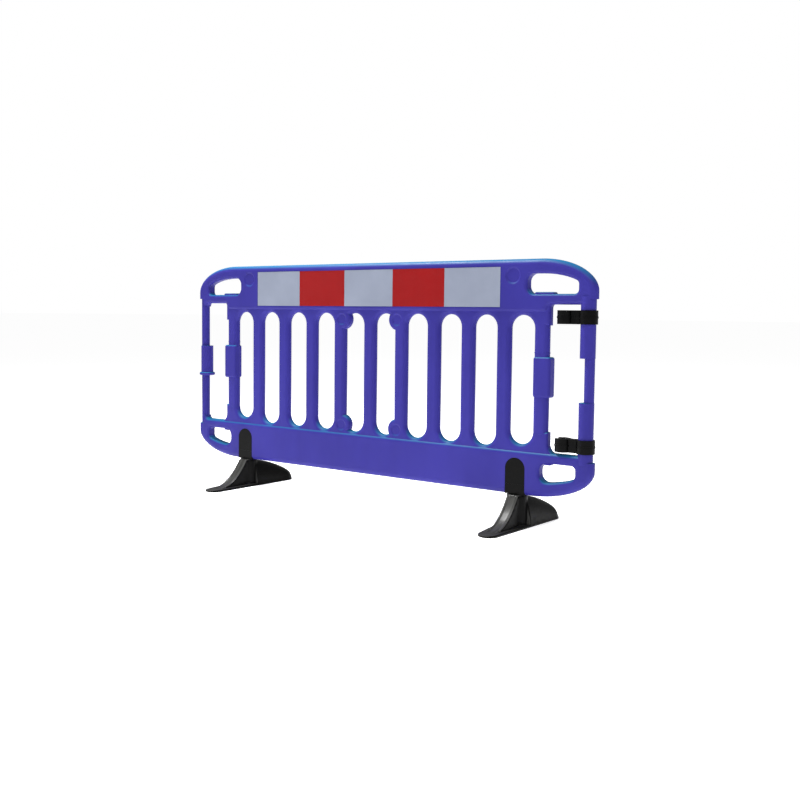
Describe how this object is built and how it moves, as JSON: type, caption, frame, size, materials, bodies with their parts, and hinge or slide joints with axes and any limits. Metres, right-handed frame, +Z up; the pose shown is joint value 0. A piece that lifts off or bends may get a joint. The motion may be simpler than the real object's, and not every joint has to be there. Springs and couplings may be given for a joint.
{
  "type": "interlocking pedestrian barrier",
  "caption": "Free-standing hollow plastic barrier panel with slots, hand holes, a reflective strip, swivelling anti-trip feet and swinging link clips.",
  "frame": {"origin": "on the ground under the middle of the panel", "axes": "+X along the panel towards the end with the link clips, +Z up, and the front with the feet's toes faces -Y"},
  "size_m": [2, 0.51, 1],
  "materials": {
    "panel_plastic": "blue blow-moulded polyethylene, satin",
    "film_white": "silver-white retroreflective film",
    "film_red": "red retroreflective film",
    "black_plastic": "black injection-moulded polypropylene, satin",
    "washer_plastic": "black nylon",
    "zinc_steel": "zinc-plated steel"
  },
  "bodies": {
    "panel": {"front_film_1_white": "film_white", "front_film_2_red": "film_red", "front_film_3_white": "film_white", "front_film_4_red": "film_red", "front_film_5_white": "film_white", "left_foot_socket": "black_plastic", "left_lower_washer": "zinc_steel", "left_pivot_bolt": "zinc_steel", "left_pivot_nut": "zinc_steel", "left_thrust_washer": "washer_plastic", "left_upper_washer": "zinc_steel", "panel": "panel_plastic", "rear_film_1_white": "film_white", "rear_film_2_red": "film_red", "rear_film_3_white": "film_white", "rear_film_4_red": "film_red", "rear_film_5_white": "film_white", "right_foot_socket": "black_plastic", "right_lower_washer": "zinc_steel", "right_pivot_bolt": "zinc_steel", "right_pivot_nut": "zinc_steel", "right_thrust_washer": "washer_plastic", "right_upper_washer": "zinc_steel"},
    "left_foot": {"left_foot": "black_plastic"},
    "right_foot": {"right_foot": "black_plastic"},
    "lower_link_clip": {"lower_link_clip": "black_plastic"},
    "upper_link_clip": {"upper_link_clip": "black_plastic"}
  },
  "joints": [
    {"name": "left_foot_swivel", "type": "hinge", "parent": "panel", "child": "left_foot", "pos_m": [-0.693, 0, 0.12], "axis": [0, 0, 1], "range_deg": [-90, 90]},
    {"name": "right_foot_swivel", "type": "hinge", "parent": "panel", "child": "right_foot", "pos_m": [0.693, 0, 0.12], "axis": [0, 0, 1], "range_deg": [-90, 90]},
    {"name": "lower_clip_swing", "type": "hinge", "parent": "panel", "child": "lower_link_clip", "pos_m": [0.964, 0, 0.322], "axis": [0, 0, 1], "continuous": true},
    {"name": "upper_clip_swing", "type": "hinge", "parent": "panel", "child": "upper_link_clip", "pos_m": [0.964, 0, 0.787], "axis": [0, 0, 1], "continuous": true}
  ]
}
